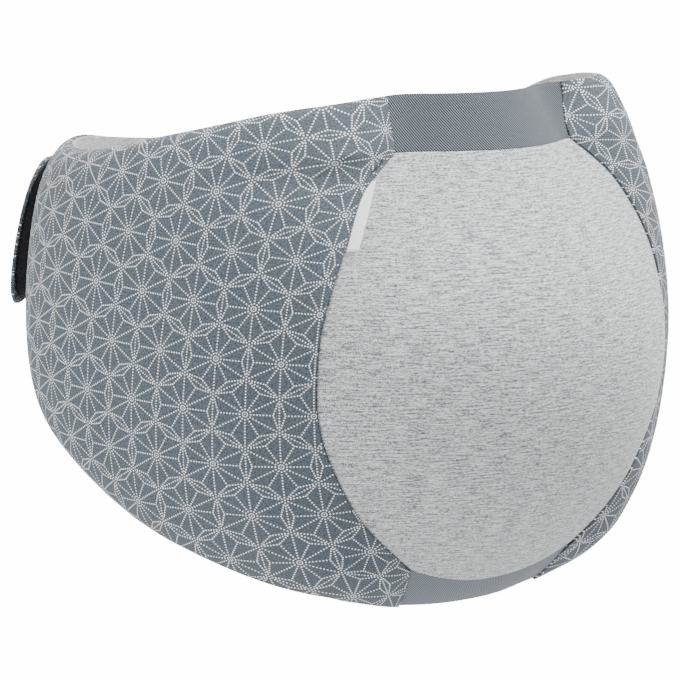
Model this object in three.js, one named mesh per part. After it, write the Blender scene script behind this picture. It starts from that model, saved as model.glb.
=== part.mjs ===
// A maternity support belt as it sits on the wearer: a stretch belly panel between two narrow bands,
// two padded patterned wings with their linings, and a hook-and-loop flap that closes it behind.
// Millimetres, +Z up, origin on the wearer's upright axis, level with the fullest part of the belly.
// The front faces -Y and the wearer's left is +X.
import * as THREE from 'three';

// The form it is worn on
const RISE = 135; // from the origin up to the front's top edge
const DROP = 150; // and down to its bottom edge
const HALF_WIDTH = 160; // from the axis to the inside of the belt at either side
const FRONT_DEPTH = 186; // from the axis to the inside of the belly panel
const BACK_DEPTH = 154;
const ROUNDNESS = 2.15; // 2 is an ellipse in plan, more is squarer
const LEAN = 68; // how far the front leans back towards the axis over LEAN_REACH upwards
const LEAN_REACH = 155;
const TUCK = 60; // how far the front curls under the belly over TUCK_REACH downwards
const TUCK_REACH = 120;
const TUCK_POWER = 2.2;

// Cloth and padding
const GAP = 0.3; // between neighbouring pieces
const LINING = 1.5;
const PAD_EDGE = 2; // a pad's thickness at its seams
const PAD_SWELL = 22; // what the filling adds to it at the fullest place
const PAD_SHOULDER = 50; // how far from the side seam the filling is full
const PAD_SQUARENESS = 3.4; // how flat the pad is between its upper and lower seam
const PANEL = 2.2;
const BAND = 3;
const BAND_ROLL = 1; // how much thinner a band is at its edges

// Where the pieces meet
const BOTTOM_BAND_TOP = 0.088; // share of the height, from the bottom edge
const TOP_BAND_BOTTOM = 0.89;
const WING_END = 178; // degrees from the front
const SIDE_SEAM = 0.1; // degrees between a wing and the seam line, about GAP

// The closure at the back, in degrees from the front round the wearer's left side
const FLAP_ROOT = 158;
const FLAP_TIP = 232;
const FLAP_CORNER = 16; // radius of the corners of the flap's free end
const FLAP = 1.6;
const LIFTED = 190; // from here on the flap lies clear above hook and loop
const HOOK_ROOT = LIFTED + 6;
const HOOK_MARGIN = 3; // between the edges of the hook patch and the flap's
const HOOK = 7; // the hook patch with its backing, at its thickest
const HOOK_THIN = 0.9; // and at its upper edge
const LOOP = 1.2;
const LOOP_ROOT = LIFTED + 2;
const LOOP_TIP = FLAP_TIP - 8;
const LOOP_MARGIN = 8;
const CLEAR = 0.8; // between the curved faces of the closure's layers

// The tag, a ribbon folded double and sewn into the side seam
const TAG_LENGTH = 35;
const TAG_UPPER_WIDTH = 2.2;
const TAG_LOWER_WIDTH = 6;
const TAG = 0.8;
const TAG_SHARE = 0.779; // share of the height at the tag's middle
const TAG_STAND = 1.2; // how far the tag's free edge stands off the panel
const TAG_SEAM = 0.35; // degrees between the tag and the side seam

// Colours
const PRINTED_BLUE = 0x6f7d8b;
const BAND_BLUE = 0x6b7a88;
const JERSEY_GREY = 0xc9c9c9;
const HOOK_BLACK = 0x0c0c10;
const LOOP_GREY = 0x5d6873;
const TAG_WHITE = 0xf1f1f1;

// A row for each direction round the wearer. Lean, tuck and padding are shares of the sizes above,
// the two wings' top edges are shares of RISE and the bottom edge a share of DROP.
const ROUND = [
  { angle: 0, lean: 1.0, tuck: 0.98, rightTop: 1.0, leftTop: 1.0, bottom: 0.97, padding: 0 },
  { angle: 25, lean: 1.1, tuck: 0.93, rightTop: 1.0, leftTop: 1.0, bottom: 0.957, padding: 0.42 },
  { angle: 50, lean: 0.5, tuck: 0.62, rightTop: 0.96, leftTop: 1.02, bottom: 0.88, padding: 0.67 },
  { angle: 80, lean: 0.3, tuck: 0.42, rightTop: 0.85, leftTop: 0.98, bottom: 0.72, padding: 0.8 },
  { angle: 110, lean: 0.15, tuck: 0.5, rightTop: 0.745, leftTop: 0.81, bottom: 0.45, padding: 0.95 },
  { angle: 135, lean: 0.2, tuck: 0.5, rightTop: 0.75, leftTop: 0.765, bottom: 0.15, padding: 0.42 },
  { angle: 180, lean: 0.1, tuck: 0.2, rightTop: 0.69, leftTop: 0.69, bottom: -0.13, padding: 0.12 },
];

// The flap's lower and upper edge on its way round the back, as shares of RISE
const FLAP_EDGES = [
  { angle: 158, low: 0.1, high: 0.67 },
  { angle: 180, low: 0.155, high: 0.645 },
  { angle: 205, low: 0.135, high: 0.645 },
  { angle: 232, low: 0.045, high: 0.66 },
];

// The line of the panel's side seam: degrees from the front at each share of the height.
const SIDE = [
  { height: 0, right: 25, left: 33 },
  { height: 0.088, right: 26, left: 30 },
  { height: 0.12, right: 30.5, left: 33 },
  { height: 0.17, right: 37, left: 37 },
  { height: 0.25, right: 42, left: 42 },
  { height: 0.4, right: 46.3, left: 46.3 },
  { height: 0.55, right: 45.7, left: 45.7 },
  { height: 0.7, right: 42, left: 42 },
  { height: 0.83, right: 38.2, left: 37 },
  { height: 0.89, right: 30.2, left: 30.2 },
  { height: 1, right: 31.3, left: 35 },
];
const SAG = 0.034; // share by which the lower band's seam hangs lower midway than at its ends
const SAG_REACH = 0.3; // share of the height over which the panel above follows it

// Rows of facets up the cloth and across each wing, closest where the pads round over
const BOTTOM_ROWS = [0, 0.015, 0.045, BOTTOM_BAND_TOP];
const PANEL_ROWS = [0.12, 0.165, 0.22, 0.29, 0.36, 0.43, 0.5, 0.57, 0.64, 0.71, 0.77, 0.815, 0.85];
const TOP_ROWS = [TOP_BAND_BOTTOM, 0.93, 0.965, 0.987, 1];
const WING_ROWS = [...BOTTOM_ROWS, ...PANEL_ROWS, ...TOP_ROWS];
const SHOULDER_COLUMNS = [0, 0.01, 0.028, 0.055, 0.09];
const WING_COLUMNS = [...SHOULDER_COLUMNS, ...steps(0.135, 0.93, 16), 0.965, 1];
const FRONT_COLUMNS = steps(-1, 1, 17);

const radians = THREE.MathUtils.degToRad;
const clamp = THREE.MathUtils.clamp;

// Even steps from one value to another, both included.
function steps(from, to, count) {
  return Array.from({ length: count }, (_, i) => from + ((to - from) * i) / (count - 1));
}

// Reads one column of a table as a smooth curve that never overshoots its rows.
function read(table, by, column, at) {
  const x = table.map((row) => row[by]);
  const y = table.map((row) => row[column]);
  const rise = x.slice(1).map((next, i) => (y[i + 1] - y[i]) / (next - x[i]));
  const slope = x.map((_, i) => {
    if (i === 0 || i === x.length - 1) return 0;
    const product = rise[i - 1] * rise[i];
    return product > 0 ? (2 * product) / (rise[i - 1] + rise[i]) : 0;
  });
  const k = clamp(x.findIndex((value) => value >= at) - 1, 0, x.length - 2);
  const span = x[k + 1] - x[k];
  const t = clamp((at - x[k]) / span, 0, 1);
  const u = 1 - t;
  return (
    y[k] * u * u * (1 + 2 * t) +
    y[k + 1] * t * t * (1 + 2 * u) +
    slope[k] * span * t * u * u -
    slope[k + 1] * span * t * t * u
  );
}

// The same direction as an angle from -180 to 180 degrees: the wearer's left is positive.
function turned(angle) {
  return ((((angle + 180) % 360) + 360) % 360) - 180;
}

const fromFront = (angle) => Math.abs(turned(angle));
const round = (angle, column) => read(ROUND, 'angle', column, fromFront(angle));
const sideSeam = (share, side) => read(SIDE, 'height', side > 0 ? 'left' : 'right', share);
const topEdge = (angle) => RISE * round(angle, turned(angle) > 0 ? 'leftTop' : 'rightTop');
const bottomEdge = (angle) => -DROP * round(angle, 'bottom');

// Height above the origin at a share of the belt's height in one direction, and the reverse.
function heightAt(angle, share) {
  return bottomEdge(angle) * (1 - share) + topEdge(angle) * share;
}

function shareAt(angle, height) {
  return (height - bottomEdge(angle)) / (topEdge(angle) - bottomEdge(angle));
}

// The inside of the belt, which lies on the wearer.
function bodyPoint(angle, height) {
  const turn = radians(angle);
  const depth = Math.cos(turn) > 0 ? FRONT_DEPTH : BACK_DEPTH;
  const across = Math.abs(Math.sin(turn) / HALF_WIDTH) ** ROUNDNESS;
  const along = Math.abs(Math.cos(turn) / depth) ** ROUNDNESS;
  const up = clamp(height / LEAN_REACH, 0, 1);
  const down = Math.max(-height, 0) / TUCK_REACH;
  const lean = LEAN * round(angle, 'lean') * 0.5 * (1 - Math.cos(Math.PI * up));
  const tuck = TUCK * round(angle, 'tuck') * down ** TUCK_POWER;
  const radius = (across + along) ** (-1 / ROUNDNESS) - lean - tuck;
  return new THREE.Vector3(radius * Math.sin(turn), -radius * Math.cos(turn), height);
}

// The same place, moved out along the surface's normal.
function outside(angle, height, distance) {
  const step = 0.5;
  const round = bodyPoint(angle + step, height).sub(bodyPoint(angle - step, height));
  const upward = bodyPoint(angle, height + step).sub(bodyPoint(angle, height - step));
  const normal = round.cross(upward).normalize();
  return bodyPoint(angle, height).addScaledVector(normal, distance);
}

// How far a place on a wing is from the side seam, measured square to the seam.
function fromSeam(angle, share) {
  const step = 0.01;
  const side = turned(angle);
  const aside = radians(sideSeam(share + step, side) - sideSeam(share - step, side)) * HALF_WIDTH;
  const along = 2 * step * (RISE + DROP);
  const level = radians(fromFront(angle) - sideSeam(share, side)) * HALF_WIDTH;
  return level / Math.hypot(1, aside / along);
}

// A pad's thickness: round over its upper and lower seam, rising gently from the seam with the panel.
function padThickness(angle, share) {
  const reach = fromSeam(angle, share);
  const shoulder = 1 - clamp(reach / PAD_SHOULDER, 0, 1);
  const upright = Math.abs(2 * share - 1) ** PAD_SQUARENESS;
  const swell = (1 - shoulder ** 2) * Math.sqrt(Math.max(1 - upright, 0));
  return PAD_EDGE + PAD_SWELL * round(angle, 'padding') * swell;
}

function padFace(angle, height) {
  return LINING + GAP + padThickness(angle, clamp(shareAt(angle, height), 0, 1));
}

// A closed cloth piece. The two functions give its inner and outer face at a row and column.
function clothPiece(name, colour, rows, columns, inner, outer) {
  const positions = [];
  const grid = [inner, outer].map((face) =>
    rows.map((row) =>
      columns.map((column) => {
        positions.push(...face(row, column).toArray());
        return positions.length / 3 - 1;
      }),
    ),
  );
  const faces = [];
  const quad = (a, b, c, d) => faces.push(a, b, c, a, c, d);
  const [back, front] = grid;
  const lastRow = rows.length - 1;
  const lastColumn = columns.length - 1;
  for (let i = 0; i < lastRow; i += 1) {
    for (let j = 0; j < lastColumn; j += 1) {
      quad(front[i][j], front[i][j + 1], front[i + 1][j + 1], front[i + 1][j]);
      quad(back[i][j], back[i + 1][j], back[i + 1][j + 1], back[i][j + 1]);
    }
    quad(back[i][0], front[i][0], front[i + 1][0], back[i + 1][0]);
    quad(back[i][lastColumn], back[i + 1][lastColumn], front[i + 1][lastColumn], front[i][lastColumn]);
  }
  for (let j = 0; j < lastColumn; j += 1) {
    quad(back[0][j], back[0][j + 1], front[0][j + 1], front[0][j]);
    quad(back[lastRow][j], front[lastRow][j], front[lastRow][j + 1], back[lastRow][j + 1]);
  }
  const geometry = new THREE.BufferGeometry();
  geometry.setAttribute('position', new THREE.Float32BufferAttribute(positions, 3));
  geometry.setIndex(faces);
  geometry.computeVertexNormals();
  const material = new THREE.MeshStandardMaterial({ color: colour, roughness: 0.95, metalness: 0 });
  const mesh = new THREE.Mesh(geometry, material);
  mesh.name = name;
  return mesh;
}

// How much lower a row of the front lies than its share says: most at the lower band's seam, midway.
function sagAt(share, across) {
  const above = clamp((share - BOTTOM_BAND_TOP) / SAG_REACH, 0, 1);
  const row = share < BOTTOM_BAND_TOP ? share / BOTTOM_BAND_TOP : 1 - above;
  return SAG * row * (1 - across ** 2);
}

// A piece of the front, between the two side seams.
function frontPiece(name, colour, rows, distance, thickness) {
  const place = (share, across, far) => {
    const angle = across * (sideSeam(share, across) - SIDE_SEAM);
    const edge = (share - rows[0]) / (rows.at(-1) - rows[0]);
    const height = heightAt(angle, share - sagAt(share, across));
    return outside(angle, height, far ? distance + thickness(edge) : distance);
  };
  const face = (far) => (share, across) => place(share, across, far);
  return clothPiece(name, colour, rows, FRONT_COLUMNS, face(false), face(true));
}

function band(name, rows) {
  const thickness = (edge) => BAND - BAND_ROLL * (2 * edge - 1) ** 4;
  return frontPiece(name, BAND_BLUE, rows, GAP, thickness);
}

function bellyPanel() {
  const inset = GAP / (RISE + DROP);
  const rows = [BOTTOM_BAND_TOP + inset, ...PANEL_ROWS, TOP_BAND_BOTTOM - inset];
  return frontPiece('belly_panel', JERSEY_GREY, rows, 2 * GAP, () => PANEL);
}

// One layer of a wing on the wearer's left (side 1) or right (side -1), from the side seam to the back.
function wingLayer(name, colour, side, inner, outer) {
  const place = (share, along, distance) => {
    const seam = sideSeam(share, side) + SIDE_SEAM;
    const angle = side * (seam + (WING_END - seam) * along);
    return outside(angle, heightAt(angle, share), distance(angle, share));
  };
  const columns = side > 0 ? WING_COLUMNS : WING_COLUMNS.toReversed();
  const face = (distance) => (share, along) => place(share, along, distance);
  return clothPiece(name, colour, WING_ROWS, columns, face(inner), face(outer));
}

function wing(side, name) {
  const padInside = () => LINING + GAP;
  const padOutside = (angle, share) => LINING + GAP + padThickness(angle, share);
  return [
    wingLayer(`${name}_pad`, PRINTED_BLUE, side, padInside, padOutside),
    wingLayer(`${name}_lining`, JERSEY_GREY, side, () => 0, () => LINING),
  ];
}

// How thick the hook patch is at a height: thin at the flap's upper edge, full from its middle down.
function hookThickness(height) {
  const { low, high } = FLAP_EDGES.at(-1);
  const fall = clamp((high - height / RISE) / (high - low), 0, 1);
  return HOOK_THIN + (HOOK - HOOK_THIN) * Math.sin((Math.PI / 2) * fall);
}

// Where the flap's inner face lies: on the left wing at its root, over hook and loop at its free end.
function flapInside(angle, height) {
  const lift = THREE.MathUtils.smoothstep(angle, WING_END, LIFTED);
  return padFace(angle, height) + CLEAR + lift * (LOOP + hookThickness(height) + 2 * CLEAR);
}

// A height on a patch at an angle, its edges drawn in over the rounded corners of its free end.
function patchHeight(angle, share, tip, margin) {
  const left = radians(tip - angle) * HALF_WIDTH;
  const missing = clamp(FLAP_CORNER - left, 0, FLAP_CORNER);
  const corner = FLAP_CORNER - Math.sqrt(FLAP_CORNER ** 2 - missing ** 2);
  const low = RISE * read(FLAP_EDGES, 'angle', 'low', angle) + margin + corner;
  const high = RISE * read(FLAP_EDGES, 'angle', 'high', angle) - margin - corner;
  return low + (high - low) * share;
}

function closurePatch(name, colour, tip, margin, columns, inner, thickness) {
  const place = (share, angle, far) => {
    const height = patchHeight(angle, share, tip, margin);
    return outside(angle, height, inner(angle, height) + (far ? thickness(height) : 0));
  };
  const rows = steps(0, 1, 11);
  const face = (far) => (share, angle) => place(share, angle, far);
  return clothPiece(name, colour, rows, columns, face(false), face(true));
}

// Columns of a patch, closer together where the free end's corners are.
function patchColumns(root, tip, count) {
  const corner = THREE.MathUtils.radToDeg(FLAP_CORNER / HALF_WIDTH);
  return [...steps(root, tip - corner, count), ...[0.6, 0.3, 0.1, 0].map((share) => tip - corner * share)];
}

function closure() {
  const hookTip = FLAP_TIP - 0.4;
  const loopAt = (angle, height) => padFace(angle, height) + CLEAR;
  const hookAt = (angle, height) => loopAt(angle, height) + LOOP + CLEAR;
  const hookColumns = patchColumns(HOOK_ROOT, hookTip, 6);
  const flapColumns = [...steps(FLAP_ROOT, LIFTED, 6), ...patchColumns(HOOK_ROOT, FLAP_TIP, 6)];
  const loopColumns = steps(LOOP_ROOT, LOOP_TIP, 6);
  return [
    closurePatch('closure_flap', PRINTED_BLUE, FLAP_TIP, 0, flapColumns, flapInside, () => FLAP),
    closurePatch('hook_patch', HOOK_BLACK, hookTip, HOOK_MARGIN, hookColumns, hookAt, hookThickness),
    closurePatch('loop_patch', LOOP_GREY, FLAP_TIP, LOOP_MARGIN, loopColumns, loopAt, () => LOOP),
  ];
}

// The tag leaves the right wing's side seam and lies over the panel, its free edge a little off it.
// Its edge at the seam follows the seam, and its free edge is straight.
function sideTag() {
  const middle = heightAt(-sideSeam(TAG_SHARE, -1), TAG_SHARE);
  const seamBy = (height) => sideSeam(shareAt(-sideSeam(TAG_SHARE, -1), height), -1) - TAG_SEAM;
  const edgeBelow = seamBy(middle - TAG_LENGTH / 2) - THREE.MathUtils.radToDeg(TAG_LOWER_WIDTH / HALF_WIDTH);
  const edgeAbove = seamBy(middle + TAG_LENGTH / 2) - THREE.MathUtils.radToDeg(TAG_UPPER_WIDTH / HALF_WIDTH);
  const place = (row, column, far) => {
    const height = middle + (row - 0.5) * TAG_LENGTH;
    const edge = edgeBelow + (edgeAbove - edgeBelow) * row;
    const angle = seamBy(height) * (1 - column) + edge * column;
    const distance = 2 * GAP + PANEL + GAP + TAG_STAND * column + (far ? TAG : 0);
    return outside(-angle, height, distance);
  };
  const rows = steps(0, 1, 7);
  const columns = steps(0, 1, 4);
  const face = (far) => (row, column) => place(row, column, far);
  return clothPiece('side_tag', TAG_WHITE, rows, columns, face(false), face(true));
}

const belt = new THREE.Group();
belt.add(bellyPanel());
belt.add(band('top_band', TOP_ROWS));
belt.add(band('bottom_band', BOTTOM_ROWS));
belt.add(...wing(-1, 'right'));
belt.add(...wing(1, 'left'));
belt.add(...closure());
belt.add(sideTag());

export default belt;
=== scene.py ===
# %% [markdown]
# # A maternity support belt, dressed over its plain solids
# The imported solids give every piece its place and size. This lesson covers each of them with cloth:
# a heathered jersey panel, two twill bands, two padded wings in a dotted print and the closure behind.
# Everything is in metres, +Z is up, the front faces -Y and the wearer's left is +X. The box round the
# solids is measured before anything is added, and it is printed beside the cloth's box at the end.

import math

import bmesh
import bpy
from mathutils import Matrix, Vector, noise


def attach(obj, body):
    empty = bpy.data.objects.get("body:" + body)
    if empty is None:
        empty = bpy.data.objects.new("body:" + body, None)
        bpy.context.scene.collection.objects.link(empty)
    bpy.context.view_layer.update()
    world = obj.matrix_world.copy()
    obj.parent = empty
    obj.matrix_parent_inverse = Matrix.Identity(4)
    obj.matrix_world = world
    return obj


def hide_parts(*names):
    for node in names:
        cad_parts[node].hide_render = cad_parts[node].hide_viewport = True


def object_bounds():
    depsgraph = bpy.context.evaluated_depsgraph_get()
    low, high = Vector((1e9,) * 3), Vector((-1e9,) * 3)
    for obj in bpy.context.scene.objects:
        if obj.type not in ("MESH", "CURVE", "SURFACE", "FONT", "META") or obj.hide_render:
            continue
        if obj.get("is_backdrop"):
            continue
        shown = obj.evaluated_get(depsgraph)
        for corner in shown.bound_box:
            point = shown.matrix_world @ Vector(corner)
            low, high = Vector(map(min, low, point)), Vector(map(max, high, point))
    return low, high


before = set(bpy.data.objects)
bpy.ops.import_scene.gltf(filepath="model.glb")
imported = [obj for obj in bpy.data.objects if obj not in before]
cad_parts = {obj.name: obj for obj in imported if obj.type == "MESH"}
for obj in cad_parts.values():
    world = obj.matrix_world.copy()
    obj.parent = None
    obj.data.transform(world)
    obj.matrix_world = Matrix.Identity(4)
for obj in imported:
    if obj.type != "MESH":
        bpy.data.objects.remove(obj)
cad_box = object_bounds()
print("solids:", sorted(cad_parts))

# %% [markdown]
# ## The camera
# The belt is seen from its front right, a little above its middle, from far enough away that its
# sides hardly draw together. A long lens gives that. The camera looks at the origin, inside the belt,
# and a slight shift of the lens then sets the belt in its place in the picture.

# %% Set the camera
MM = 0.001
AZIMUTH = math.radians(-41.3)
ELEVATION = math.radians(7.3)
CAMERA_DISTANCE = 2.6
LENS = 243.9
SENSOR_WIDTH = 36
SHIFT_X = -0.0088
SHIFT_Y = -0.0312


def direction(azimuth, elevation):
    reach = math.cos(elevation)
    return Vector((math.sin(azimuth) * reach, -math.cos(azimuth) * reach, math.sin(elevation)))


back = direction(AZIMUTH, ELEVATION)
camera_data = bpy.data.cameras.new("camera")
camera_data.lens = LENS
camera_data.sensor_width = SENSOR_WIDTH
camera_data.shift_x = SHIFT_X
camera_data.shift_y = SHIFT_Y
camera = bpy.data.objects.new("camera", camera_data)
camera.location = back * CAMERA_DISTANCE
camera.rotation_mode = "QUATERNION"
camera.rotation_quaternion = (-back).to_track_quat("-Z", "Y")
bpy.context.scene.collection.objects.link(camera)
bpy.context.scene.camera = camera
print("camera at", tuple(round(v, 3) for v in camera.location))

# %% [markdown]
# ## Helpers for cloth
# Cloth bends in one smooth sweep, but a CAD solid is a coarse grid of loose triangles. It could be
# remeshed and relaxed, which would lose its seams. Instead a copy of it is merged, its triangles are
# paired into quads, and a subdivision surface rounds it. Its sharp rims keep a crease, so that they
# stay near the seam, and so do the corners where a rim turns. A piece that is sewn between others can
# reach a little past its rim, which closes the gap at the seam. The result is applied, because later
# steps move single points of it.


# %% Copy a solid as a smooth mesh
WELD = 0.02 * MM
SHARP = math.radians(50)
CORNER_TURN = math.radians(25)
PAIR_BEND = math.radians(60)
PAIR_SKEW = math.radians(120)
THICKEST = 3.3 * MM
FULL_CREASE = 1.0


def smooth_copy(node, name, levels, reach=0.0):
    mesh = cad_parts[node].data.copy()
    mesh.materials.clear()
    bm = bmesh.new()
    bm.from_mesh(mesh)
    bmesh.ops.remove_doubles(bm, verts=bm.verts, dist=WELD)
    crease = bm.edges.layers.float.new("crease_edge")
    for edge in bm.edges:
        if edge.is_manifold and edge.calc_face_angle() > SHARP:
            edge[crease] = FULL_CREASE
    corner = bm.verts.layers.float.new("crease_vert")
    for vertex in bm.verts:
        rims = [edge.other_vert(vertex).co - vertex.co for edge in vertex.link_edges if edge[crease] > 0]
        if len(rims) == 2 and math.pi - rims[0].angle(rims[1]) > CORNER_TURN:
            vertex[corner] = FULL_CREASE
    bmesh.ops.join_triangles(
        bm,
        faces=bm.faces,
        angle_face_threshold=PAIR_BEND,
        angle_shape_threshold=PAIR_SKEW,
    )
    edging = [f for f in bm.faces if sum(e.calc_length() < THICKEST for e in f.edges) > 1]
    outwards = {}
    for face in edging:
        for vertex in face.verts:
            outwards[vertex] = outwards.get(vertex, Vector()) + face.normal
    for vertex, outward in outwards.items():
        vertex.co += outward.normalized() * reach
    bm.to_mesh(mesh)
    bm.free()
    rough = bpy.data.objects.new(name + ".rough", mesh)
    bpy.context.scene.collection.objects.link(rough)
    rounding = rough.modifiers.new("rounding", "SUBSURF")
    rounding.levels = levels
    rounding.render_levels = levels
    shape = rough.evaluated_get(bpy.context.evaluated_depsgraph_get())
    piece = bpy.data.objects.new(name, bpy.data.meshes.new_from_object(shape))
    piece.data.name = name
    bpy.context.scene.collection.objects.link(piece)
    bpy.data.objects.remove(rough)
    piece.data.shade_smooth()
    print(name, "has", len(piece.data.polygons), "faces")
    return piece


# %% [markdown]
# Each finished piece takes the place of its solid. It gets one material, and it rides on the only body
# that the belt has. Stitches are added and take no solid's place.


# %% Dress a node with a piece
def dress(piece, material, slot, *nodes):
    piece.data.materials.clear()
    piece.data.materials.append(material)
    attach(piece, "root")
    if nodes:
        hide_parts(*nodes)
    print(piece.name, "is dressed in", material.name)


# %% [markdown]
# Cloth patterns need places measured along the cloth. Seen from above the belt is a rounded oval,
# so the way round it is measured along that oval, from the middle of the front. The way up is
# measured along the belly's own curve, which leans back above and tucks under below. Both go into
# a UV map in metres, so that a shader can draw threads at their true size.

# %% Measure along the cloth
HALF_WIDTH = 160 * MM
FRONT_DEPTH = 186 * MM
BACK_DEPTH = 154 * MM
ROUNDNESS = 2.15


def oval(angle):
    depth = FRONT_DEPTH if math.cos(angle) > 0 else BACK_DEPTH
    across = abs(math.sin(angle) / HALF_WIDTH) ** ROUNDNESS
    along = abs(math.cos(angle) / depth) ** ROUNDNESS
    radius = (across + along) ** (-1 / ROUNDNESS)
    return Vector((radius * math.sin(angle), -radius * math.cos(angle)))


way_round = [0.0]
for degree in range(360):
    step = oval(math.radians(degree + 1)) - oval(math.radians(degree))
    way_round.append(way_round[-1] + step.length)


def round_length(angle):
    degrees = math.degrees(angle) % 360
    whole = int(degrees)
    return way_round[whole] + (way_round[whole + 1] - way_round[whole]) * (degrees - whole)


def angle_of(point, side):
    return (side * math.atan2(point.x, -point.y)) % (2 * math.pi)


print("round the oval:", round(way_round[-1], 3), "m")

# %% [markdown]
# The height needs the same care. The front of the belly leans back above its fullest part and curls
# under below it, so the cloth is longer there than it is tall. The slope of that curve is known, so
# short steps along it are added up.

# %% Measure up the cloth
LEAN = 68 * MM
LEAN_REACH = 155 * MM
TUCK = 60 * MM
TUCK_REACH = 120 * MM
TUCK_POWER = 2.2
UP_STEPS = 12


def slope(height):
    if height > 0:
        turn = math.pi * min(height / LEAN_REACH, 1)
        return 0.5 * LEAN * math.pi / LEAN_REACH * math.sin(turn)
    return TUCK * TUCK_POWER / TUCK_REACH * (-height / TUCK_REACH) ** (TUCK_POWER - 1)


def up_length(height):
    rise = height / UP_STEPS
    return sum(math.hypot(1, slope(rise * (k + 0.5))) * rise for k in range(UP_STEPS))


def cloth_place(point):
    angle = math.atan2(point.x, -point.y)
    length = round_length(abs(angle))
    return (math.copysign(length, angle), up_length(point.z))


print("up the front:", round(up_length(cad_box[1].z) - up_length(cad_box[0].z), 3), "m")

# %% [markdown]
# Blender keeps a UV map at the corners of the faces. Unwrapping would lay each piece out in a way of
# its own. Here the map is worked out once for each point, from its place on the belt, and given to all
# the corners that meet there, so the pattern runs on from face to face and from piece to piece.


# %% Lay a UV map over a piece
def lay_uv(piece, name, place):
    layer = piece.data.uv_layers.new(name=name)
    spots = [place(vertex.co) for vertex in piece.data.vertices]
    for loop in piece.data.loops:
        layer.data[loop.index].uv = spots[loop.vertex_index]
    print(piece.name, "has a map for its", name)


# %% [markdown]
# ## Shader helpers
# The weaves and the print are worked out by Math nodes, because a picture of cloth would blur close up
# and repeat. A small class makes the nodes and links them, so that each cloth reads as a few lines of
# sums. Cloth hardly shines, so its specular level is low, and a little sheen stands for its fuzz.


# %% Make a node tree
MIX_INPUTS = (0, 6, 7)
MIX_RESULT = 2
SHEEN_ROUGHNESS = 0.5
CLOTH_SPECULAR = 0.2


class Drawing:
    def __init__(self, name):
        self.material = bpy.data.materials.new(name)
        self.material.use_nodes = True
        self.tree = self.material.node_tree
        self.shader = self.tree.nodes["Principled BSDF"]

    def node(self, kind, **values):
        made = self.tree.nodes.new(kind)
        for key, value in values.items():
            setattr(made, key, value)
        return made

    def link(self, source, target):
        self.tree.links.new(source, target)

    def put(self, value, socket):
        if isinstance(value, bpy.types.NodeSocket):
            self.link(value, socket)
        else:
            socket.default_value = value

    def math(self, operation, *values):
        made = self.node("ShaderNodeMath", operation=operation)
        for value, socket in zip(values, made.inputs):
            self.put(value, socket)
        return made.outputs[0]

    def uv(self, name):
        split = self.node("ShaderNodeSeparateXYZ")
        self.link(self.node("ShaderNodeUVMap", uv_map=name).outputs[0], split.inputs[0])
        return split.outputs[0], split.outputs[1]

    def vector(self, x, y):
        made = self.node("ShaderNodeCombineXYZ")
        for value, socket in zip((x, y), made.inputs):
            self.put(value, socket)
        return made.outputs[0]

    def place(self):
        return self.node("ShaderNodeTexCoord").outputs["Object"]

    def noise(self, vector, scale, detail=2.0, roughness=0.5):
        made = self.node("ShaderNodeTexNoise")
        self.link(vector, made.inputs["Vector"])
        made.inputs["Scale"].default_value = scale
        made.inputs["Detail"].default_value = detail
        made.inputs["Roughness"].default_value = roughness
        return made.outputs["Fac"]

    def remap(self, value, low, high, start=0.0, end=1.0):
        made = self.node("ShaderNodeMapRange", interpolation_type="SMOOTHSTEP")
        for item, socket in zip((value, low, high, start, end), made.inputs):
            self.put(item, socket)
        return made.outputs[0]

    def mix(self, share, first, second):
        made = self.node("ShaderNodeMix", data_type="RGBA")
        for value, key in zip((share, first, second), MIX_INPUTS):
            self.put(value, made.inputs[key])
        return made.outputs[MIX_RESULT]

    def bump(self, height, strength, distance):
        made = self.node("ShaderNodeBump")
        self.link(height, made.inputs["Height"])
        made.inputs["Strength"].default_value = strength
        made.inputs["Distance"].default_value = distance
        self.link(made.outputs[0], self.shader.inputs["Normal"])

    def finish(self, colour, roughness, sheen=0.0):
        self.put(colour, self.shader.inputs["Base Color"])
        self.put(roughness, self.shader.inputs["Roughness"])
        self.shader.inputs["Sheen Weight"].default_value = sheen
        self.shader.inputs["Sheen Roughness"].default_value = SHEEN_ROUGHNESS
        self.shader.inputs["Specular IOR Level"].default_value = CLOTH_SPECULAR
        return self.material


def shade(red, green, blue):
    def linear(value):
        share = value / 255
        return share / 12.92 if share <= 0.04045 else ((share + 0.055) / 1.055) ** 2.4

    return (linear(red), linear(green), linear(blue), 1)


# %% [markdown]
# ## The printed cloth
# The print is the traditional hemp-leaf lattice, drawn in rows of small white dots. Every star is
# the middle of a hexagon with twelve spokes. Six long ones reach the hexagon's corners, six short
# ones end where the narrow leaf along each side begins. One twelfth of a hexagon holds one of each
# line, so the shader folds every place into that wedge and draws only four lines there. A picture
# tile would show its joins, and a formula has none. Lengths are counted in steps from star to star.

# %% Fold the lattice into one wedge
STAR_STEP_ROOT = math.sqrt(3)
CORNER = 1 / STAR_STEP_ROOT


def radius_of(d, x, y):
    return d.math("SQRT", d.math("ADD", d.math("MULTIPLY", x, x), d.math("MULTIPLY", y, y)))


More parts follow.
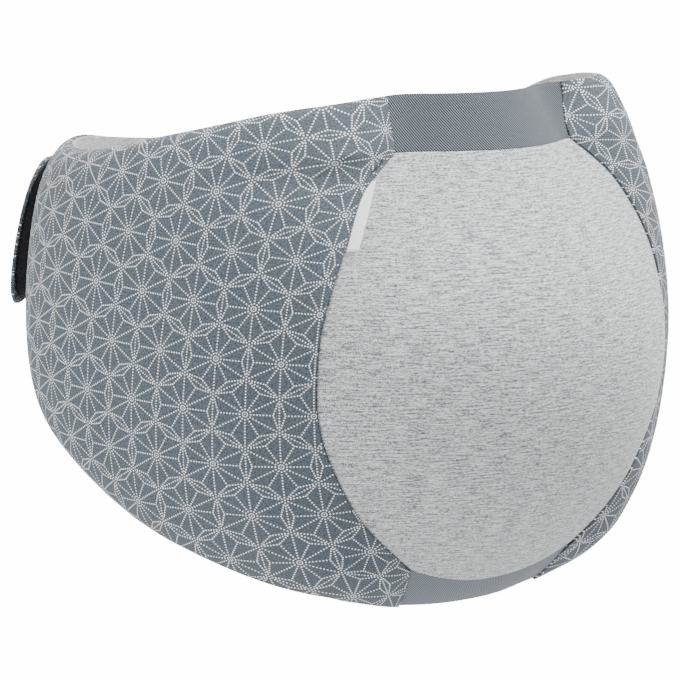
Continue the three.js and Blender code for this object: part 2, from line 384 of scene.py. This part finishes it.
def nearest_star(d, x, y):
    def centred(value, shift, period):
        moved = d.math("ADD", value, shift + period / 2)
        return d.math("SUBTRACT", d.math("FLOORED_MODULO", moved, period), period / 2)

    first = [centred(x, 0, 1), centred(y, 0, STAR_STEP_ROOT)]
    second = [centred(x, 0.5, 1), centred(y, STAR_STEP_ROOT / 2, STAR_STEP_ROOT)]
    reach = [
        d.math("ADD", d.math("MULTIPLY", a, a), d.math("MULTIPLY", b, b))
        for a, b in (first, second)
    ]
    nearer = d.math("LESS_THAN", reach[1], reach[0])
    picked = []
    for a, b in zip(first, second):
        step = d.math("MULTIPLY", d.math("SUBTRACT", b, a), nearer)
        picked.append(d.math("ADD", a, step))
    return picked


def wedge(d, x, y):
    sector = math.pi / 3
    turn = d.math("ADD", d.math("ARCTAN2", y, x), sector / 2)
    folded = d.math("ABSOLUTE", d.math("SUBTRACT", d.math("FLOORED_MODULO", turn, sector), sector / 2))
    reach = radius_of(d, x, y)
    along = d.math("MULTIPLY", reach, d.math("COSINE", folded))
    aside = d.math("MULTIPLY", reach, d.math("SINE", folded))
    return along, aside


print("the hexagons' corners lie", round(CORNER, 3), "of a step from their stars")

# %% [markdown]
# Each line is a row of round dots at an even distance. The shader finds the nearest dot of every line
# and asks how far away it is. The dots of a star shrink towards its middle, where twelve lines crowd
# together, and the leaves' lines stop short of the corners, where others already end.

# %% Draw the dotted lines
LEAF_START = 0.41
SPOKE_DOTS = 12
SHORT_DOTS = 9
LEAF_DOTS = 7
LEAF_END = 5
FIRST_GAP = 0.2
DOT = 0.0121
DOT_EDGE = 0.003
SMALL_DOT = 0.7
SMALL_REACH = (0.042, 0.075)


def dotted_line(d, x, y, start, end, dots, last=None):
    length = math.dist(start, end)
    pitch = length / (dots - FIRST_GAP)
    along_x, along_y = (end[0] - start[0]) / length, (end[1] - start[1]) / length
    dx, dy = d.math("SUBTRACT", x, start[0]), d.math("SUBTRACT", y, start[1])
    along = d.math("ADD", d.math("MULTIPLY", dx, along_x), d.math("MULTIPLY", dy, along_y))
    aside = d.math("SUBTRACT", d.math("MULTIPLY", dx, along_y), d.math("MULTIPLY", dy, along_x))
    number = d.math("ROUND", d.math("ADD", d.math("DIVIDE", along, pitch), FIRST_GAP))
    number = d.math("MINIMUM", d.math("MAXIMUM", number, 1), last or dots)
    place = d.math("MULTIPLY", d.math("SUBTRACT", number, FIRST_GAP), pitch)
    return radius_of(d, d.math("SUBTRACT", along, place), aside)


def hemp_leaf(d, x, y):
    x, y = wedge(d, *nearest_star(d, x, y))
    star, leaf = (0, 0), (LEAF_START, 0)
    corner = (0.5, CORNER / 2)
    lines = [
        dotted_line(d, x, y, star, corner, SPOKE_DOTS),
        dotted_line(d, x, y, star, leaf, SHORT_DOTS),
        dotted_line(d, x, y, leaf, corner, LEAF_DOTS, LEAF_END),
        dotted_line(d, x, y, (0.5, -CORNER / 2), corner, SPOKE_DOTS),
    ]
    nearest = radius_of(d, x, y)
    size = d.remap(nearest, *SMALL_REACH, DOT * SMALL_DOT, DOT)
    for other in lines:
        nearest = d.math("MINIMUM", nearest, other)
    beyond = d.math("SUBTRACT", nearest, size)
    return d.remap(beyond, -DOT_EDGE / 2, DOT_EDGE / 2, 1.0, 0.0)


# %% [markdown]
# The ground of the print is a matt slate cloth. Its dye varies slowly from place to place, and its
# threads make a fine speckle about a millimetre across, which also lifts the surface a little. The
# numbers of a noise texture are its scale per metre, its detail and its roughness.

# %% Make the printed cloth
SLATE = shade(55, 63, 72)
SLATE_LIGHT = shade(98, 106, 115)
SLATE_GREEN = shade(58, 67, 70)
DOT_WHITE = shade(246, 248, 249)
DYE_NOISE = (28, 2)
THREAD_NOISE = (1000, 2, 0.7)
NOISE_MIDDLE = (0.35, 0.65)
THREAD_SHARE = 0.85
PRINTED_BUMP = (0.25, 0.1 * MM)
PRINTED_FINISH = (0.85, 0.08)


def printed_cloth():
    d = Drawing("printed_cloth")
    dots = hemp_leaf(d, *d.uv("print"))
    u, v = d.uv("cloth")
    place = d.vector(u, v)
    dye = d.mix(d.remap(d.noise(place, *DYE_NOISE), *NOISE_MIDDLE), SLATE, SLATE_GREEN)
    threads = d.remap(d.noise(place, *THREAD_NOISE), *NOISE_MIDDLE)
    ground = d.mix(d.math("MULTIPLY", threads, THREAD_SHARE), dye, SLATE_LIGHT)
    colour = d.mix(dots, ground, DOT_WHITE)
    d.bump(threads, *PRINTED_BUMP)
    return d.finish(colour, *PRINTED_FINISH)


printed = printed_cloth()
print("printed cloth has", len(printed.node_tree.nodes), "nodes")

# %% [markdown]
# ## The jersey
# The panel is a heathered jersey: light and dark fibres are spun together, and the knit draws them
# into short streaks along its rows. Three noises stand for it, from long streaks to single fibres.
# Each is squeezed in height, so that its marks lie along the rows. The linings are a quieter jersey.

# %% Make the jersey
JERSEY_LIGHT = shade(220, 222, 223)
JERSEY_DARK = shade(84, 88, 91)
LINING_LIGHT = shade(206, 207, 207)
LINING_DARK = shade(128, 130, 131)
STREAKS = {"squeeze": 12.0, "noise": (80, 2, 0.6), "weight": 0.3}
DASHES = {"squeeze": 2.6, "noise": (420, 2, 0.7), "weight": 0.35}
FIBRES = {"squeeze": 1.3, "noise": (1500, 1), "weight": 0.35}
HEATHER = (0.4, 0.6)
JERSEY_BUMP = (0.3, 0.12 * MM)
JERSEY_FINISH = (0.9, 0.2)


def jersey(name, dark, light):
    d = Drawing(name)
    u, v = d.uv("cloth")

    def marks(kind):
        return d.noise(d.vector(u, d.math("MULTIPLY", v, kind["squeeze"])), *kind["noise"])

    streaks, dashes, fibres = marks(STREAKS), marks(DASHES), marks(FIBRES)
    blend = d.math("MULTIPLY", streaks, STREAKS["weight"])
    blend = d.math("ADD", blend, d.math("MULTIPLY", dashes, DASHES["weight"]))
    blend = d.math("ADD", blend, d.math("MULTIPLY", fibres, FIBRES["weight"]))
    colour = d.mix(d.remap(blend, *HEATHER), dark, light)
    d.bump(fibres, *JERSEY_BUMP)
    return d.finish(colour, *JERSEY_FINISH)


knit = jersey("jersey", JERSEY_DARK, JERSEY_LIGHT)
lining_knit = jersey("lining_jersey", LINING_DARK, LINING_LIGHT)
print("jerseys:", knit.name, "and", lining_knit.name)

# %% [markdown]
# ## The twill
# The bands are a firm elastic twill. Its weft passes one thread further over in each row, which makes
# fine diagonal ribs. A sine wave across the ribs draws them, and a noise breaks them up into yarn. The
# lower band is stretched under the belly, so its ribs are finer and paler.

# %% Make the twills
RIB_FLANK = (-0.7, 0.7)
YARN_NOISE = (900, 2)
RIB_SHARE = 0.75
YARN_SHARE = 0.25
TWILL_BLEND = (0.1, 0.9)
TWILL_BUMP = (0.4, 0.15 * MM)
TWILL_FINISH = (0.8, 0.15)


def twill(name, dark, light, rib_step, climb):
    d = Drawing(name)
    u, v = d.uv("cloth")
    lean = d.math("ADD", u, d.math("MULTIPLY", v, climb))
    wave = d.math("SINE", d.math("MULTIPLY", lean, 2 * math.pi / rib_step))
    rib = d.remap(wave, *RIB_FLANK)
    yarn = d.noise(d.vector(u, v), *YARN_NOISE)
    share = d.math("ADD", d.math("MULTIPLY", rib, RIB_SHARE), d.math("MULTIPLY", yarn, YARN_SHARE))
    colour = d.mix(d.remap(share, *TWILL_BLEND), dark, light)
    d.bump(rib, *TWILL_BUMP)
    return d.finish(colour, *TWILL_FINISH)


rib_cloths = {
    "top_band": twill("top_twill", shade(16, 20, 24), shade(107, 115, 123), rib_step=2.2 * MM, climb=1.0),
    "bottom_band": twill(
        "bottom_twill", shade(70, 77, 84), shade(118, 126, 134), rib_step=2.0 * MM, climb=1.2
    ),
}
print("twills for:", *rib_cloths)

# %% [markdown]
# ## Tapes and ribbon
# The closure holds by a tape of stiff hooks on a brushed field of loops. Both are a pile too fine to
# model, so a strong bump on a noise stands for it. The tag is a white woven ribbon, smoother and a
# little shinier than the cloths. All three are small, so they read Object coordinates.

# %% Make the tapes and the ribbon
TUFT_BLEND = (0.3, 0.7)


def tufted(name, noise_kind, dark, light, bump, finish):
    d = Drawing(name)
    tufts = d.noise(d.place(), *noise_kind)
    colour = d.mix(d.remap(tufts, *TUFT_BLEND), dark, light)
    d.bump(tufts, *bump)
    return d.finish(colour, *finish)


hooks = tufted("hook_tape", (900, 2, 0.7), shade(6, 6, 9), shade(30, 30, 36), (0.8, 0.5 * MM), (0.75,))
loops = tufted(
    "loop_tape", (700, 3, 0.7), shade(74, 82, 90), shade(112, 121, 129), (0.8, 0.4 * MM), (0.95, 0.3)
)
white_ribbon = tufted(
    "ribbon", (1600, 1), shade(226, 227, 232), shade(244, 244, 247), (0.25, 0.08 * MM), (0.55,)
)
print("tapes and ribbon:", hooks.name, loops.name, white_ribbon.name)

# %% [markdown]
# ## The side seams
# Each wing is sewn to the panel along a curved seam. The seam line is read off the panel's solid: it
# is the edge between its outer face and its side. The rounding draws such an edge as a B-spline of
# its points, so whatever follows the seam uses the same curve. Stitches are then set along it at an
# even distance, as a sewing machine sets them.


# %% Find a seam line
FACING = 0.6
SPLINE_STEPS = 12


def level(point):
    return Vector((point.x, point.y, 0)).normalized()


def leftwards(point):
    return Vector((0, 0, 1)).cross(level(point))


def side_line(node, side):
    bm = bmesh.new()
    bm.from_mesh(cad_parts[node].data)
    bmesh.ops.remove_doubles(bm, verts=bm.verts, dist=WELD)
    line = set()
    for edge in bm.edges:
        if not edge.is_manifold or edge.calc_face_angle() < SHARP:
            continue
        middle = (edge.verts[0].co + edge.verts[1].co) / 2
        normals = [face.normal for face in edge.link_faces]
        faces_out = max(normal.dot(level(middle)) for normal in normals)
        faces_side = max(normal.dot(side * leftwards(middle)) for normal in normals)
        if faces_out > FACING and faces_side > FACING:
            line.update(tuple(vertex.co) for vertex in edge.verts)
    bm.free()
    return sorted((Vector(point) for point in line), key=lambda point: point.z)


def spline(points):
    ends = [2 * points[0] - points[1], *points, 2 * points[-1] - points[-2]]
    curve = []
    for a, b, c, d in zip(ends, ends[1:], ends[2:], ends[3:]):
        for k in range(SPLINE_STEPS):
            t = k / SPLINE_STEPS
            shares = ((1 - t) ** 3, 3 * t**3 - 6 * t**2 + 4, -3 * t**3 + 3 * t**2 + 3 * t + 1, t**3)
            curve.append(sum((w * p for w, p in zip(shares, (a, b, c, d))), Vector()) / 6)
    return [*curve, points[-1]]


def evenly(curve, pitch):
    spots, left = [], pitch / 2
    for start, end in zip(curve, curve[1:]):
        length = (end - start).length
        while left < length:
            spots.append((start.lerp(end, left / length), (end - start).normalized()))
            left += pitch
        left -= length
    return spots


SIDES = {"right": -1, "left": 1}
seams = {}
seam_angles = {}
for name, side in SIDES.items():
    points = side_line("belly_panel", side)
    seams[name] = spline(points)
    seam_angles[side] = [(point.z, angle_of(point, side)) for point in seams[name]]
    print(name, "seam:", len(points), "points from", round(points[0].z, 3), "to", round(points[-1].z, 3))

# %% [markdown]
# ## The padded wings
# A wing is two layers of cloth with wadding between them, sewn together all round. It is full in the
# middle and rolls over to its seams. Its print runs in rows and columns of stars. They lean and bow
# where the cloth is drawn round the hip, the rows draw together towards the front seam, and the corner
# by the upper band is pulled a little further. So the print is laid by a formula in the way round and
# the height, in which each of these has a term of its own.

# %% Place the print on a wing
STAR_TURN = math.radians(11.04)
FIRST_STAR = 5.21
COLUMN_LEAN = 12.8
COLUMN_BOW = 110
BOW_END = 0.222
FIRST_ROW = -0.5
ROW_FALL = 1.98
ROWS_PER_METRE = 25.6
FRONT_SQUEEZE = 0.94
PULL_CENTRE = (round_length(math.radians(31.2)), 117 * MM)
PULL = (11 * MM, 5.6 * MM)
PULL_REACH = (51 * MM, 39 * MM)
BOW_STOP = 1.1
SQUEEZE_STOP = 80 * MM


def print_place(side, lift=None):
    def place(point):
        angle = angle_of(point, side)
        way = round_length(angle)
        point = Vector((point.x, point.y, point.z + (lift(angle, point) if lift else 0)))
        across, along = ((a - b) / c for a, b, c in zip((way, point.z), PULL_CENTRE, PULL_REACH))
        pull = math.exp(-(across**2) - along**2)
        angle += PULL[0] * pull / oval(angle).length
        way += PULL[0] * pull
        point.z += PULL[1] * pull
        bow = COLUMN_BOW * (1 - min(way / BOW_END, BOW_STOP)) * point.z**2
        x = FIRST_STAR - angle / STAR_TURN - bow - COLUMN_LEAN * way * point.z
        rows = ROWS_PER_METRE + FRONT_SQUEEZE / max(way, SQUEEZE_STOP)
        y = FIRST_ROW - ROW_FALL * way + rows * point.z
        return (x, y)

    return place


# %% [markdown]
# Where a pad rolls over to its upper and lower seam, height hardly grows while the cloth goes on.
# The print would smear there, so the cloth's extra length is added. It is worked out from the pad's
# own rounding, with its reach and thickness measured on the mesh in steps round the wearer.

# %% Measure the roll over the edges
PAD_SQUARENESS = 3.4
ROLL_STEP = math.radians(4)
ROLL_PARTS = 60
WAIST_SHARE = 0.1


def edge_roll(piece, side):
    reach = {}
    for vertex in piece.data.vertices:
        key = round(angle_of(vertex.co, side) / ROLL_STEP)
        reach.setdefault(key, []).append(vertex.co)
    spans = {}
    for key, points in reach.items():
        heights = [point.z for point in points]
        low, high = min(heights), max(heights)
        near = WAIST_SHARE * (high - low)
        waist = [point.xy.length for point in points if abs(point.z - (low + high) / 2) < near]
        thick = max(waist) - min(waist) if waist else 0
        spans[key] = (low, high, thick)

    def lift(angle, point):
        place = angle / ROLL_STEP
        key = int(place)
        first = spans.get(key) or spans[min(spans, key=lambda k: abs(k - key))]
        second = spans.get(key + 1) or first
        low, high, thick = (a + (b - a) * (place - key) for a, b in zip(first, second))
        share = min(max((point.z - low) / (high - low), 0), 1)
        extra = 0.0
        step = abs(2 * share - 1) / ROLL_PARTS
        before = 1.0
        for k in range(ROLL_PARTS):
            now = math.sqrt(1 - min(step * (k + 1), 1) ** PAD_SQUARENESS)
            run = step * (high - low) / 2
            extra += math.hypot(run, (before - now) * thick) - run
            before = now
        return math.copysign(extra, share - 0.5)

    print(piece.name, "is up to", round(max(span[2] for span in spans.values()), 3), "m thick")
    return lift


# %% [markdown]
# Sewing draws the cloth in a little, so small hollows run into each wing from its seams. Close to the
# tag, where three layers meet, the cloth is caught in a deeper tuck.

# %% Pucker the cloth along its seams
SEAM_PUCKER = 0.55 * MM
PUCKER_STEP = 11 * MM
PUCKER_REACH = 14 * MM
PUCKER_STRETCH = 6
PUCKER_START = 3 * MM
SIDE_SHIFT = 5
SOFT_SWELL = 1.2 * MM
SOFT_STEP = 60 * MM
SOFT_START = 20 * MM
FACES_IN = -0.2
TUCK_HEIGHT = 99 * MM
TUCK_LENGTH = 6 * MM
TUCK_AWAY = 5 * MM
TUCK_WIDTH = 1.3 * MM
TUCK_DEPTH = 1.8 * MM
RIDGE_SHARE = 0.5
RIDGE_PLACE = 2


def bell(value):
    return math.exp(-(value**2))


def tag_tuck(side, away, height):
    if side > 0:
        return 0.0
    along = (height - TUCK_HEIGHT) / TUCK_LENGTH
    across = (away - TUCK_AWAY) / TUCK_WIDTH
    return TUCK_DEPTH * bell(along) * (RIDGE_SHARE * bell(across - RIDGE_PLACE) - bell(across))


def pucker(piece, side):
    moved = 0
    normals = [vertex.normal.copy() for vertex in piece.data.vertices]
    for vertex, normal in zip(piece.data.vertices, normals):
        point = vertex.co
        if normal.dot(level(point)) < FACES_IN:
            continue
        seam = min(seam_angles[side], key=lambda pair: abs(pair[0] - point.z))[1]
        away = max(round_length(angle_of(point, side)) - round_length(seam), 0)
        near = math.exp(-away / PUCKER_REACH)
        along = Vector((point.z / PUCKER_STEP, away / (PUCKER_STRETCH * PUCKER_STEP), SIDE_SHIFT * side))
        hollow = noise.noise(along) * SEAM_PUCKER * near * min(away / PUCKER_START, 1)
        swell = noise.noise(point / SOFT_STEP) * SOFT_SWELL * (1 - near) * min(away / SOFT_START, 1)
        vertex.co = point + normal * (hollow + swell + tag_tuck(side, away, point.z))
        moved += 1
    print(piece.name, "puckered at", moved, "points")


# %% [markdown]
# The outer cloth and its padding are one closed piece, and the lining lies inside it as a thin sheet
# of its own, as on the real belt. The UV maps come before the hollows are pressed in, so that the
# print moves with the cloth. The linings are cut flatter than the wing's curve and stretch over it.

# %% Make the wings
for name, side in SIDES.items():
    wing = smooth_copy(f"{name}_pad", f"{name}_wing", 3)
    lay_uv(wing, "cloth", cloth_place)
    lay_uv(wing, "print", print_place(side, edge_roll(wing, side)))
    pucker(wing, side)
    dress(wing, printed, "printed_cloth", f"{name}_pad")
    lining = smooth_copy(f"{name}_lining", f"{name}_wing_lining", 2)
    lay_uv(lining, "cloth", cloth_place)
    dress(lining, lining_knit, "jersey", f"{name}_lining")

# %% [markdown]
# ## The belly panel and its bands
# The panel is one piece of jersey stretched over the belly, and a band of twill is sewn along its upper
# and its lower edge. The solids keep a small gap between them. Real cloth has none there, so each piece
# reaches a little beyond its solid, and the edges meet.

# %% Make the panel and the bands
SEAM_REACH = 0.35 * MM
panel = smooth_copy("belly_panel", "jersey_panel", 3, reach=SEAM_REACH)
lay_uv(panel, "cloth", cloth_place)
dress(panel, knit, "jersey", "belly_panel")

for name in ("top_band", "bottom_band"):
    band = smooth_copy(name, f"{name}_twill", 3, reach=SEAM_REACH)
    lay_uv(band, "cloth", cloth_place)
    dress(band, rib_cloths[name], "twill", name)

# %% [markdown]
# ## Seam stitches
# An overlock stitch binds each wing to the panel. Its dark thread shows as a row of short slanting
# bars across the seam. A bump could paint them, but it would vanish at the outline, so each is a small
# rounded grain of thread with few faces, and a whole row is one piece.

# %% Sew the seams
GRAIN = {"u_segments": 6, "v_segments": 4, "radius": 0.5}
PLY_NOISE = (2500, 1)
THREAD_FINISH = (0.7, 0.2)
SEAM_STITCH = (1.7 * MM, 0.45 * MM, 0.45 * MM)
STITCH_PITCH = 1.7 * MM
STITCH_LEAN = 0.5


def grain(bm, place, along, across, out, size):
    for vertex in bmesh.ops.create_uvsphere(bm, **GRAIN)["verts"]:
        x, y, z = vertex.co
        vertex.co = place + across * x * size[0] + along * y * size[1] + out * z * size[2]


def sew(name, spots, size, lean=0.0):
    bm = bmesh.new()
    for place, along in spots:
        out = level(place)
        out = (out - along * out.dot(along)).normalized()
        across = along.cross(out).normalized()
        turned = (across + along * lean).normalized()
        grain(bm, place, out.cross(turned), turned, out, size)
    bmesh.ops.recalc_face_normals(bm, faces=bm.faces)
    mesh = bpy.data.meshes.new(name)
    bm.to_mesh(mesh)
    bm.free()
    mesh.shade_smooth()
    piece = bpy.data.objects.new(name, mesh)
    bpy.context.scene.collection.objects.link(piece)
    print(name, "has", len(spots), "stitches")
    return piece


def thread(name, dark, light):
    d = Drawing(name)
    plies = d.noise(d.place(), *PLY_NOISE)
    return d.finish(d.mix(d.remap(plies, *NOISE_MIDDLE), dark, light), *THREAD_FINISH)


dark_thread = thread("dark_thread", shade(62, 69, 77), shade(98, 105, 114))
for name, curve in seams.items():
    stitches = sew(f"{name}_seam_stitches", evenly(curve, STITCH_PITCH), SEAM_STITCH, STITCH_LEAN)
    dress(stitches, dark_thread, "printed_cloth")

# %% [markdown]
# ## The closure
# Behind, the left wing runs on into a flap that lies over the end of the right wing. It could be cut
# double from the printed cloth, sewn and turned. Its print goes on from the left wing's, so it is laid
# by the same formula. The flap is thin and flat, so it needs fewer faces than a wing.

# %% Make the flap
flap = smooth_copy("closure_flap", "closure_flap_cloth", 2)
lay_uv(flap, "cloth", cloth_place)
lay_uv(flap, "print", print_place(1))
dress(flap, printed, "printed_cloth", "closure_flap")

# %% [markdown]
# The flap is turned and topstitched all round, a few millimetres inside its edge, and a second row
# across its root holds it to the left wing. Each stitch lies on the cloth under it.

# %% Topstitch the flap
TOPSTITCH = (0.65 * MM, 2.3 * MM, 0.6 * MM)
TOPSTITCH_PITCH = 3.0 * MM
EDGE_MARGIN = 4 * MM
ROOT_MARGIN = 12 * MM
ROOT_WIDTH = math.radians(1)
ROOT_SPOTS = 40
ABOVE_CLOTH = 3 * MM


def outline(node):
    bm = bmesh.new()
    bm.from_mesh(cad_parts[node].data)
    bmesh.ops.remove_doubles(bm, verts=bm.verts, dist=WELD)
    beside = {}
    for edge in bm.edges:
        out = level(edge.verts[0].co)
        facing = sorted(face.normal.dot(out) for face in edge.link_faces)
        if facing[0] < FACING < facing[1]:
            for vertex in edge.verts:
                beside.setdefault(vertex, []).append(edge.other_vert(vertex))
    start = next(iter(beside))
    walk = [start, beside[start][0]]
    while walk[-1] is not start:
        walk.append(next(v for v in beside[walk[-1]] if v is not walk[-2]))
    points = [vertex.co.copy() for vertex in walk]
    bm.free()
    return points


def drawn_in(piece, loop, margin):
    middle = sum(loop, Vector()) / len(loop)
    spots = []
    for place, along in evenly(loop, 0.5 * TOPSTITCH_PITCH):
        inwards = level(place).cross(along).normalized()
        if inwards.dot(middle - place) < 0:
            inwards = -inwards
        aside = place + inwards * margin
        spots.append(piece.closest_point_on_mesh(aside + level(aside) * ABOVE_CLOTH)[1])
    return spots


def root_row(piece, edge):
    root = min(angle_of(point, 1) for point in edge)
    angle = root + ROOT_MARGIN / HALF_WIDTH
    heights = [point.z for point in edge if angle_of(point, 1) - root < ROOT_WIDTH]
    low, high = min(heights) + EDGE_MARGIN, max(heights) - EDGE_MARGIN
    spots = []
    for k in range(ROOT_SPOTS + 1):
        height = low + (high - low) * k / ROOT_SPOTS
        outside = direction(angle, 0) * 2 * HALF_WIDTH + Vector((0, 0, height))
        hit, spot = piece.ray_cast(outside, -level(outside))[:2]
        if hit:
            spots.append(spot)
    return spots


flap_edge = outline("closure_flap")
row = drawn_in(flap, flap_edge, EDGE_MARGIN)
row.append(row[0])
stitch_spots = evenly(row, TOPSTITCH_PITCH) + evenly(root_row(flap, flap_edge), TOPSTITCH_PITCH)
slate_thread = thread("slate_thread", shade(150, 158, 166), shade(188, 195, 201))
dress(sew("flap_topstitch", stitch_spots, TOPSTITCH), slate_thread, "printed_cloth")

# %% [markdown]
# ## The patches and the tag
# Under the flap lies the hook patch, which shows only edge on, and below it the field of loops that it
# grips. The tag is a short ribbon folded double and caught in the seam beside the panel.

# %% Make the hook patch, the loop patch and the tag
for name, cloth, slot in (("hook_patch", hooks, "hook_tape"), ("loop_patch", loops, "loop_tape")):
    patch = smooth_copy(name, f"{name}_cloth", 2)
    dress(patch, cloth, slot, name)

tag = smooth_copy("side_tag", "tag_ribbon", 2)
dress(tag, white_ribbon, "ribbon", "side_tag")

# %% [markdown]
# ## The studio
# The belt keeps its worn form in the air over a pale floor, which reaches far past the picture's edges.
# Seen by the camera the floor glows, so that it comes out as white as the photograph's ground, while
# to the belt it is an ordinary pale floor that throws back a little light.

# %% Build the floor
FLOOR_DROP = 0.5
STAGE_WIDTH = 60.0
FLOOR_GREY = shade(212, 212, 212)
FLOOR_ROUGHNESS = 0.9
FLOOR_GLOW = 14

bm = bmesh.new()
bmesh.ops.create_grid(bm, x_segments=1, y_segments=1, size=STAGE_WIDTH / 2)
floor_mesh = bpy.data.meshes.new("floor")
bm.to_mesh(floor_mesh)
bm.free()
floor = bpy.data.objects.new("floor", floor_mesh)
floor.location.z = cad_box[0].z - FLOOR_DROP
bpy.context.scene.collection.objects.link(floor)
stage_paint = Drawing("stage_paint")
stage_paint.finish(FLOOR_GREY, FLOOR_ROUGHNESS)
glow = stage_paint.node("ShaderNodeEmission")
glow.inputs["Strength"].default_value = FLOOR_GLOW
both = stage_paint.node("ShaderNodeAddShader")
seen = stage_paint.node("ShaderNodeMixShader")
output = stage_paint.tree.nodes["Material Output"]
stage_paint.link(stage_paint.shader.outputs[0], both.inputs[0])
stage_paint.link(glow.outputs[0], both.inputs[1])
stage_paint.link(stage_paint.node("ShaderNodeLightPath").outputs["Is Camera Ray"], seen.inputs[0])
stage_paint.link(stage_paint.shader.outputs[0], seen.inputs[1])
stage_paint.link(both.outputs[0], seen.inputs[2])
stage_paint.link(seen.outputs[0], output.inputs["Surface"])
floor.data.materials.append(stage_paint.material)
floor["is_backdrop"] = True
print("floor at", round(floor.location.z, 3))

# %% [markdown]
# The photograph has hardly any shadows. A bright, even sky gives most of the light. A large softbox
# above the wearer's left front brings out the belly's roundness, a weak one on the wearer's right
# lights the near wing, and another keeps the back from going flat in the other views.

# %% Light the studio
SKY = (1, 1, 1, 1)
SKY_STRENGTH = 1.19

world = bpy.data.worlds.new("studio")
world.use_nodes = True
sky = world.node_tree.nodes["Background"]
sky.inputs["Color"].default_value = SKY
sky.inputs["Strength"].default_value = SKY_STRENGTH
bpy.context.scene.world = world


def softbox(name, azimuth, elevation, distance, size, power):
    light = bpy.data.lights.new(name, "AREA")
    light.shape = "DISK"
    light.size = size
    light.energy = power
    towards = direction(math.radians(azimuth), math.radians(elevation))
    lamp = bpy.data.objects.new(name, light)
    lamp.location = towards * distance
    lamp.rotation_mode = "QUATERNION"
    lamp.rotation_quaternion = towards.to_track_quat("Z", "Y")
    bpy.context.scene.collection.objects.link(lamp)
    print(name, "light of", power, "W at", tuple(round(v, 2) for v in lamp.location))


softbox("key", azimuth=35, elevation=62, distance=2.0, size=1.2, power=84)
softbox("rear_fill", azimuth=-150, elevation=45, distance=2.0, size=1.2, power=11)
softbox("left_fill", azimuth=-100, elevation=5, distance=2.0, size=1.4, power=22)

# %% [markdown]
# ## Finish
# The dressed belt is measured, and its box is printed beside that of its solids.

# %% Measure and finish
dressed_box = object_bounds()
sizes = {"cad": [list(c) for c in cad_box], "visual": [list(c) for c in dressed_box]}
print("solids", sizes["cad"])
print("dressed", sizes["visual"])
